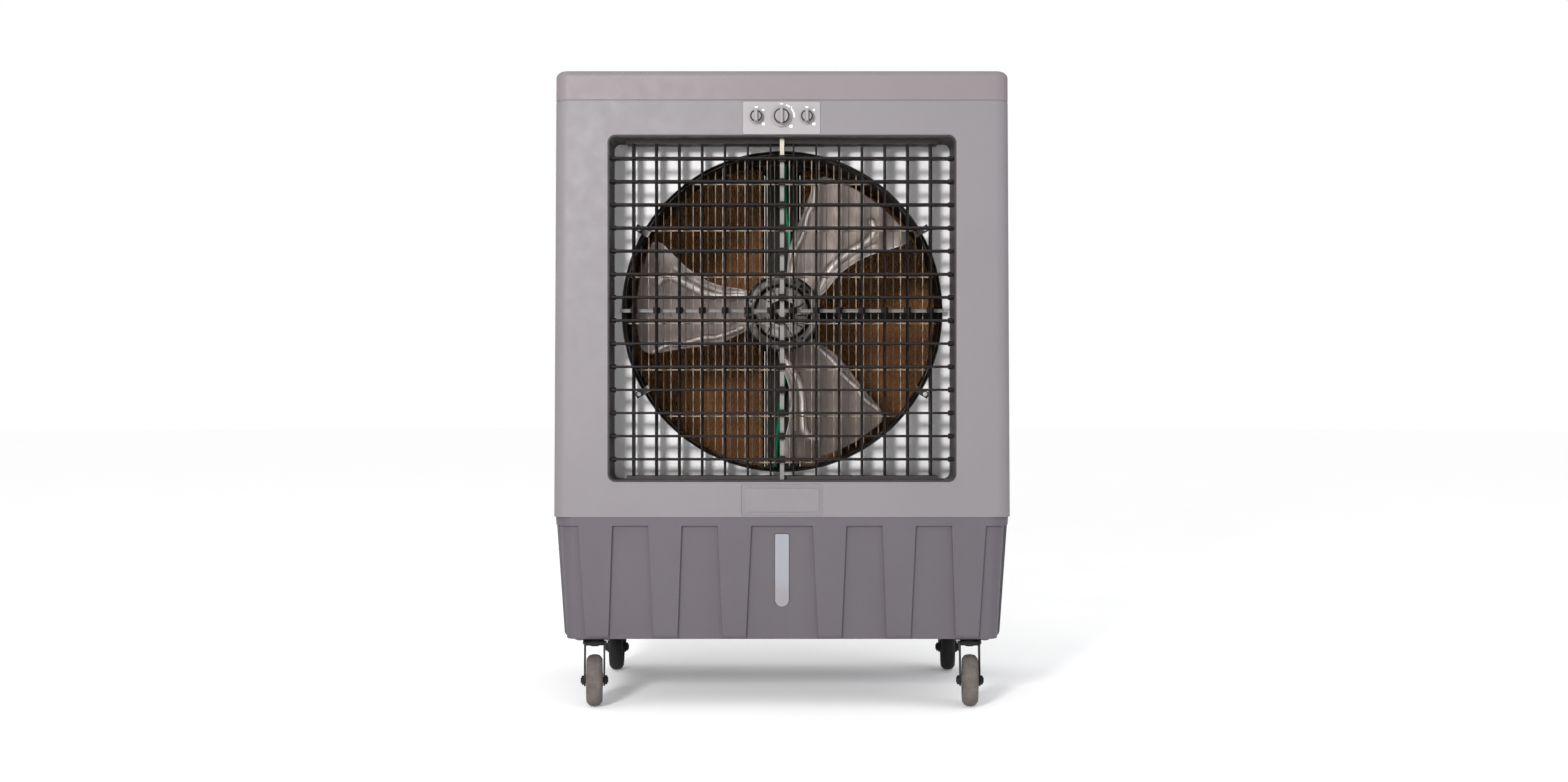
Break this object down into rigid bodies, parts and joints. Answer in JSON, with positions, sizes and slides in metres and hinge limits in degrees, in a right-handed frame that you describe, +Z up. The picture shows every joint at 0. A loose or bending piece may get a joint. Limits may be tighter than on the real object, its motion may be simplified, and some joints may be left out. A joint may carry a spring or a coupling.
{
  "type": "evaporative cooler",
  "caption": "Upright portable evaporative cooler on swivel casters: louvered front outlet with an axial fan, control knobs, rear pad grilles and a fluted water tank.",
  "frame": {"origin": "on the floor under the middle of the overall box", "axes": "+Z up, +X to the right seen from the front, the front faces -Y"},
  "size_m": [0.972, 0.646, 1.356],
  "materials": {
    "housing": "satin",
    "cover": "satin",
    "tank": "satin",
    "window": "gloss",
    "panel": "satin",
    "knob": "satin",
    "louver": "matte",
    "frame_dark": "matte",
    "link": "satin",
    "shroud": "satin",
    "guard_wire": "satin",
    "blade": "satin",
    "hub": "satin",
    "motor": "matte",
    "bracket": "satin",
    "pad": "matte",
    "grille": "satin",
    "distributor": "matte",
    "hose": "satin",
    "pump": "satin",
    "caster_plate": "satin",
    "fork": "satin",
    "wheel": "matte",
    "screw": "satin"
  },
  "bodies": {
    "cabinet": {"housing_shell": "housing", "top_cover": "cover", "water_tank": "tank", "level_window": "window", "louver_frame": "frame_dark", "fan_shroud": "shroud", "fan_guard": "guard_wire", "motor": "motor", "motor_bracket": "bracket", "control_panel": "panel", "cooling_pads": "pad", "rear_grilles": "grille", "water_distributor": "distributor", "water_hose": "hose", "pump": "pump", "caster_plates": "caster_plate", "screws": "screw"},
    "fan": {"fan_hub": "hub", "fan_blades": "blade"},
    "fan_knob": {"fan_knob": "knob"},
    "swing_knob": {"swing_knob": "knob"},
    "pump_knob": {"pump_knob": "knob"},
    "horizontal_louver_01": {"horizontal_louver_01": "louver"},
    "horizontal_louver_02": {"horizontal_louver_02": "louver"},
    "horizontal_louver_03": {"horizontal_louver_03": "louver"},
    "horizontal_louver_04": {"horizontal_louver_04": "louver"},
    "horizontal_louver_05": {"horizontal_louver_05": "louver"},
    "horizontal_louver_06": {"horizontal_louver_06": "louver"},
    "horizontal_louver_07": {"horizontal_louver_07": "louver"},
    "horizontal_louver_08": {"horizontal_louver_08": "louver"},
    "horizontal_louver_09": {"horizontal_louver_09": "louver"},
    "horizontal_louver_10": {"horizontal_louver_10": "louver"},
    "horizontal_louver_11": {"horizontal_louver_11": "louver"},
    "horizontal_louver_12": {"horizontal_louver_12": "louver"},
    "horizontal_louver_13": {"horizontal_louver_13": "louver"},
    "horizontal_louver_14": {"horizontal_louver_14": "louver"},
    "horizontal_louver_link": {"horizontal_louver_link": "link"},
    "vertical_louver_01": {"vertical_louver_01": "louver"},
    "vertical_louver_02": {"vertical_louver_02": "louver"},
    "vertical_louver_03": {"vertical_louver_03": "louver"},
    "vertical_louver_04": {"vertical_louver_04": "louver"},
    "vertical_louver_05": {"vertical_louver_05": "louver"},
    "vertical_louver_06": {"vertical_louver_06": "louver"},
    "vertical_louver_07": {"vertical_louver_07": "louver"},
    "vertical_louver_08": {"vertical_louver_08": "louver"},
    "vertical_louver_09": {"vertical_louver_09": "louver"},
    "vertical_louver_10": {"vertical_louver_10": "louver"},
    "vertical_louver_11": {"vertical_louver_11": "louver"},
    "vertical_louver_12": {"vertical_louver_12": "louver"},
    "vertical_louver_13": {"vertical_louver_13": "louver"},
    "vertical_louver_14": {"vertical_louver_14": "louver"},
    "vertical_louver_link": {"vertical_louver_link": "link"},
    "caster_fork_front_left": {"caster_fork_front_left": "fork"},
    "caster_wheel_front_left": {"caster_wheel_front_left": "wheel"},
    "caster_fork_front_right": {"caster_fork_front_right": "fork"},
    "caster_wheel_front_right": {"caster_wheel_front_right": "wheel"},
    "caster_fork_rear_left": {"caster_fork_rear_left": "fork"},
    "caster_wheel_rear_left": {"caster_wheel_rear_left": "wheel"},
    "caster_fork_rear_right": {"caster_fork_rear_right": "fork"},
    "caster_wheel_rear_right": {"caster_wheel_rear_right": "wheel"}
  },
  "joints": [
    {"name": "fan_spin", "type": "hinge", "parent": "cabinet", "child": "fan", "pos_m": [0, -0.072, 0.8515], "axis": [0, 1, 0], "continuous": true},
    {"name": "fan_knob_turn", "type": "hinge", "parent": "cabinet", "child": "fan_knob", "pos_m": [-0.0545, -0.297, 1.256], "axis": [0, 1, 0], "range_deg": [0, 135]},
    {"name": "swing_knob_turn", "type": "hinge", "parent": "cabinet", "child": "swing_knob", "pos_m": [-0.001, -0.297, 1.256], "axis": [0, 1, 0], "range_deg": [0, 135]},
    {"name": "pump_knob_turn", "type": "hinge", "parent": "cabinet", "child": "pump_knob", "pos_m": [0.0525, -0.297, 1.256], "axis": [0, 1, 0], "range_deg": [0, 135]},
    {"name": "horizontal_louver_01_pivot", "type": "hinge", "parent": "cabinet", "child": "horizontal_louver_01", "pos_m": [0, -0.276, 0.5317], "axis": [1, 0, 0], "range_deg": [-35, 35]},
    {"name": "horizontal_louver_02_pivot", "type": "hinge", "parent": "cabinet", "child": "horizontal_louver_02", "pos_m": [0, -0.276, 0.5809], "axis": [1, 0, 0], "range_deg": [-35, 35]},
    {"name": "horizontal_louver_03_pivot", "type": "hinge", "parent": "cabinet", "child": "horizontal_louver_03", "pos_m": [0, -0.276, 0.6301], "axis": [1, 0, 0], "range_deg": [-35, 35]},
    {"name": "horizontal_louver_04_pivot", "type": "hinge", "parent": "cabinet", "child": "horizontal_louver_04", "pos_m": [0, -0.276, 0.6793], "axis": [1, 0, 0], "range_deg": [-35, 35]},
    {"name": "horizontal_louver_05_pivot", "type": "hinge", "parent": "cabinet", "child": "horizontal_louver_05", "pos_m": [0, -0.276, 0.7285], "axis": [1, 0, 0], "range_deg": [-35, 35]},
    {"name": "horizontal_louver_06_pivot", "type": "hinge", "parent": "cabinet", "child": "horizontal_louver_06", "pos_m": [0, -0.276, 0.7777], "axis": [1, 0, 0], "range_deg": [-35, 35]},
    {"name": "horizontal_louver_07_pivot", "type": "hinge", "parent": "cabinet", "child": "horizontal_louver_07", "pos_m": [0, -0.276, 0.8269], "axis": [1, 0, 0], "range_deg": [-35, 35]},
    {"name": "horizontal_louver_08_pivot", "type": "hinge", "parent": "cabinet", "child": "horizontal_louver_08", "pos_m": [0, -0.276, 0.8761], "axis": [1, 0, 0], "range_deg": [-35, 35]},
    {"name": "horizontal_louver_09_pivot", "type": "hinge", "parent": "cabinet", "child": "horizontal_louver_09", "pos_m": [0, -0.276, 0.9253], "axis": [1, 0, 0], "range_deg": [-35, 35]},
    {"name": "horizontal_louver_10_pivot", "type": "hinge", "parent": "cabinet", "child": "horizontal_louver_10", "pos_m": [0, -0.276, 0.9745], "axis": [1, 0, 0], "range_deg": [-35, 35]},
    {"name": "horizontal_louver_11_pivot", "type": "hinge", "parent": "cabinet", "child": "horizontal_louver_11", "pos_m": [0, -0.276, 1.0237], "axis": [1, 0, 0], "range_deg": [-35, 35]},
    {"name": "horizontal_louver_12_pivot", "type": "hinge", "parent": "cabinet", "child": "horizontal_louver_12", "pos_m": [0, -0.276, 1.0729], "axis": [1, 0, 0], "range_deg": [-35, 35]},
    {"name": "horizontal_louver_13_pivot", "type": "hinge", "parent": "cabinet", "child": "horizontal_louver_13", "pos_m": [0, -0.276, 1.1221], "axis": [1, 0, 0], "range_deg": [-35, 35]},
    {"name": "horizontal_louver_14_pivot", "type": "hinge", "parent": "cabinet", "child": "horizontal_louver_14", "pos_m": [0, -0.276, 1.1713], "axis": [1, 0, 0], "range_deg": [-35, 35]},
    {"name": "horizontal_louver_link_pivot", "type": "hinge", "parent": "horizontal_louver_07", "child": "horizontal_louver_link", "pos_m": [0, -0.265, 0.8269], "axis": [1, 0, 0], "range_deg": [-35, 35]},
    {"name": "vertical_louver_01_pivot", "type": "hinge", "parent": "cabinet", "child": "vertical_louver_01", "pos_m": [-0.3198, -0.233, 0.8515], "axis": [0, 0, 1], "range_deg": [-35, 35]},
    {"name": "vertical_louver_02_pivot", "type": "hinge", "parent": "cabinet", "child": "vertical_louver_02", "pos_m": [-0.2706, -0.233, 0.8515], "axis": [0, 0, 1], "range_deg": [-35, 35]},
    {"name": "vertical_louver_03_pivot", "type": "hinge", "parent": "cabinet", "child": "vertical_louver_03", "pos_m": [-0.2214, -0.233, 0.8515], "axis": [0, 0, 1], "range_deg": [-35, 35]},
    {"name": "vertical_louver_04_pivot", "type": "hinge", "parent": "cabinet", "child": "vertical_louver_04", "pos_m": [-0.1722, -0.233, 0.8515], "axis": [0, 0, 1], "range_deg": [-35, 35]},
    {"name": "vertical_louver_05_pivot", "type": "hinge", "parent": "cabinet", "child": "vertical_louver_05", "pos_m": [-0.123, -0.233, 0.8515], "axis": [0, 0, 1], "range_deg": [-35, 35]},
    {"name": "vertical_louver_06_pivot", "type": "hinge", "parent": "cabinet", "child": "vertical_louver_06", "pos_m": [-0.0738, -0.233, 0.8515], "axis": [0, 0, 1], "range_deg": [-35, 35]},
    {"name": "vertical_louver_07_pivot", "type": "hinge", "parent": "cabinet", "child": "vertical_louver_07", "pos_m": [-0.0246, -0.233, 0.8515], "axis": [0, 0, 1], "range_deg": [-35, 35]},
    {"name": "vertical_louver_08_pivot", "type": "hinge", "parent": "cabinet", "child": "vertical_louver_08", "pos_m": [0.0246, -0.233, 0.8515], "axis": [0, 0, 1], "range_deg": [-35, 35]},
    {"name": "vertical_louver_09_pivot", "type": "hinge", "parent": "cabinet", "child": "vertical_louver_09", "pos_m": [0.0738, -0.233, 0.8515], "axis": [0, 0, 1], "range_deg": [-35, 35]},
    {"name": "vertical_louver_10_pivot", "type": "hinge", "parent": "cabinet", "child": "vertical_louver_10", "pos_m": [0.123, -0.233, 0.8515], "axis": [0, 0, 1], "range_deg": [-35, 35]},
    {"name": "vertical_louver_11_pivot", "type": "hinge", "parent": "cabinet", "child": "vertical_louver_11", "pos_m": [0.1722, -0.233, 0.8515], "axis": [0, 0, 1], "range_deg": [-35, 35]},
    {"name": "vertical_louver_12_pivot", "type": "hinge", "parent": "cabinet", "child": "vertical_louver_12", "pos_m": [0.2214, -0.233, 0.8515], "axis": [0, 0, 1], "range_deg": [-35, 35]},
    {"name": "vertical_louver_13_pivot", "type": "hinge", "parent": "cabinet", "child": "vertical_louver_13", "pos_m": [0.2706, -0.233, 0.8515], "axis": [0, 0, 1], "range_deg": [-35, 35]},
    {"name": "vertical_louver_14_pivot", "type": "hinge", "parent": "cabinet", "child": "vertical_louver_14", "pos_m": [0.3198, -0.233, 0.8515], "axis": [0, 0, 1], "range_deg": [-35, 35]},
    {"name": "vertical_louver_link_pivot", "type": "hinge", "parent": "vertical_louver_07", "child": "vertical_louver_link", "pos_m": [-0.0246, -0.215, 0.8515], "axis": [0, 0, 1], "range_deg": [-35, 35]},
    {"name": "caster_front_left_swivel", "type": "hinge", "parent": "cabinet", "child": "caster_fork_front_left", "pos_m": [-0.407, -0.209, 0.13], "axis": [0, 0, 1], "continuous": true},
    {"name": "caster_front_left_roll", "type": "hinge", "parent": "caster_fork_front_left", "child": "caster_wheel_front_left", "pos_m": [-0.40386, -0.23884, 0.055], "axis": [0.9945, 0.1045, 0], "continuous": true},
    {"name": "caster_front_right_swivel", "type": "hinge", "parent": "cabinet", "child": "caster_fork_front_right", "pos_m": [0.407, -0.209, 0.13], "axis": [0, 0, 1], "continuous": true},
    {"name": "caster_front_right_roll", "type": "hinge", "parent": "caster_fork_front_right", "child": "caster_wheel_front_right", "pos_m": [0.40439, -0.23889, 0.055], "axis": [0.9962, -0.0872, 0], "continuous": true},
    {"name": "caster_rear_left_swivel", "type": "hinge", "parent": "cabinet", "child": "caster_fork_rear_left", "pos_m": [-0.407, 0.235, 0.13], "axis": [0, 0, 1], "continuous": true},
    {"name": "caster_rear_left_roll", "type": "hinge", "parent": "caster_fork_rear_left", "child": "caster_wheel_rear_left", "pos_m": [-0.40543, 0.20504, 0.055], "axis": [0.9986, 0.0523, 0], "continuous": true},
    {"name": "caster_rear_right_swivel", "type": "hinge", "parent": "cabinet", "child": "caster_fork_rear_right", "pos_m": [0.407, 0.235, 0.13], "axis": [0, 0, 1], "continuous": true},
    {"name": "caster_rear_right_roll", "type": "hinge", "parent": "caster_fork_rear_right", "child": "caster_wheel_rear_right", "pos_m": [0.40491, 0.20507, 0.055], "axis": [0.9976, -0.0698, 0], "continuous": true}
  ],
  "couplings": [
    {"joint": "horizontal_louver_01_pivot", "follows": "horizontal_louver_07_pivot", "ratio": 1},
    {"joint": "horizontal_louver_02_pivot", "follows": "horizontal_louver_07_pivot", "ratio": 1},
    {"joint": "horizontal_louver_03_pivot", "follows": "horizontal_louver_07_pivot", "ratio": 1},
    {"joint": "horizontal_louver_04_pivot", "follows": "horizontal_louver_07_pivot", "ratio": 1},
    {"joint": "horizontal_louver_05_pivot", "follows": "horizontal_louver_07_pivot", "ratio": 1},
    {"joint": "horizontal_louver_06_pivot", "follows": "horizontal_louver_07_pivot", "ratio": 1},
    {"joint": "horizontal_louver_08_pivot", "follows": "horizontal_louver_07_pivot", "ratio": 1},
    {"joint": "horizontal_louver_09_pivot", "follows": "horizontal_louver_07_pivot", "ratio": 1},
    {"joint": "horizontal_louver_10_pivot", "follows": "horizontal_louver_07_pivot", "ratio": 1},
    {"joint": "horizontal_louver_11_pivot", "follows": "horizontal_louver_07_pivot", "ratio": 1},
    {"joint": "horizontal_louver_12_pivot", "follows": "horizontal_louver_07_pivot", "ratio": 1},
    {"joint": "horizontal_louver_13_pivot", "follows": "horizontal_louver_07_pivot", "ratio": 1},
    {"joint": "horizontal_louver_14_pivot", "follows": "horizontal_louver_07_pivot", "ratio": 1},
    {"joint": "horizontal_louver_link_pivot", "follows": "horizontal_louver_07_pivot", "ratio": -1},
    {"joint": "vertical_louver_01_pivot", "follows": "vertical_louver_07_pivot", "ratio": 1},
    {"joint": "vertical_louver_02_pivot", "follows": "vertical_louver_07_pivot", "ratio": 1},
    {"joint": "vertical_louver_03_pivot", "follows": "vertical_louver_07_pivot", "ratio": 1},
    {"joint": "vertical_louver_04_pivot", "follows": "vertical_louver_07_pivot", "ratio": 1},
    {"joint": "vertical_louver_05_pivot", "follows": "vertical_louver_07_pivot", "ratio": 1},
    {"joint": "vertical_louver_06_pivot", "follows": "vertical_louver_07_pivot", "ratio": 1},
    {"joint": "vertical_louver_08_pivot", "follows": "vertical_louver_07_pivot", "ratio": 1},
    {"joint": "vertical_louver_09_pivot", "follows": "vertical_louver_07_pivot", "ratio": 1},
    {"joint": "vertical_louver_10_pivot", "follows": "vertical_louver_07_pivot", "ratio": 1},
    {"joint": "vertical_louver_11_pivot", "follows": "vertical_louver_07_pivot", "ratio": 1},
    {"joint": "vertical_louver_12_pivot", "follows": "vertical_louver_07_pivot", "ratio": 1},
    {"joint": "vertical_louver_13_pivot", "follows": "vertical_louver_07_pivot", "ratio": 1},
    {"joint": "vertical_louver_14_pivot", "follows": "vertical_louver_07_pivot", "ratio": 1},
    {"joint": "vertical_louver_link_pivot", "follows": "vertical_louver_07_pivot", "ratio": -1}
  ]
}
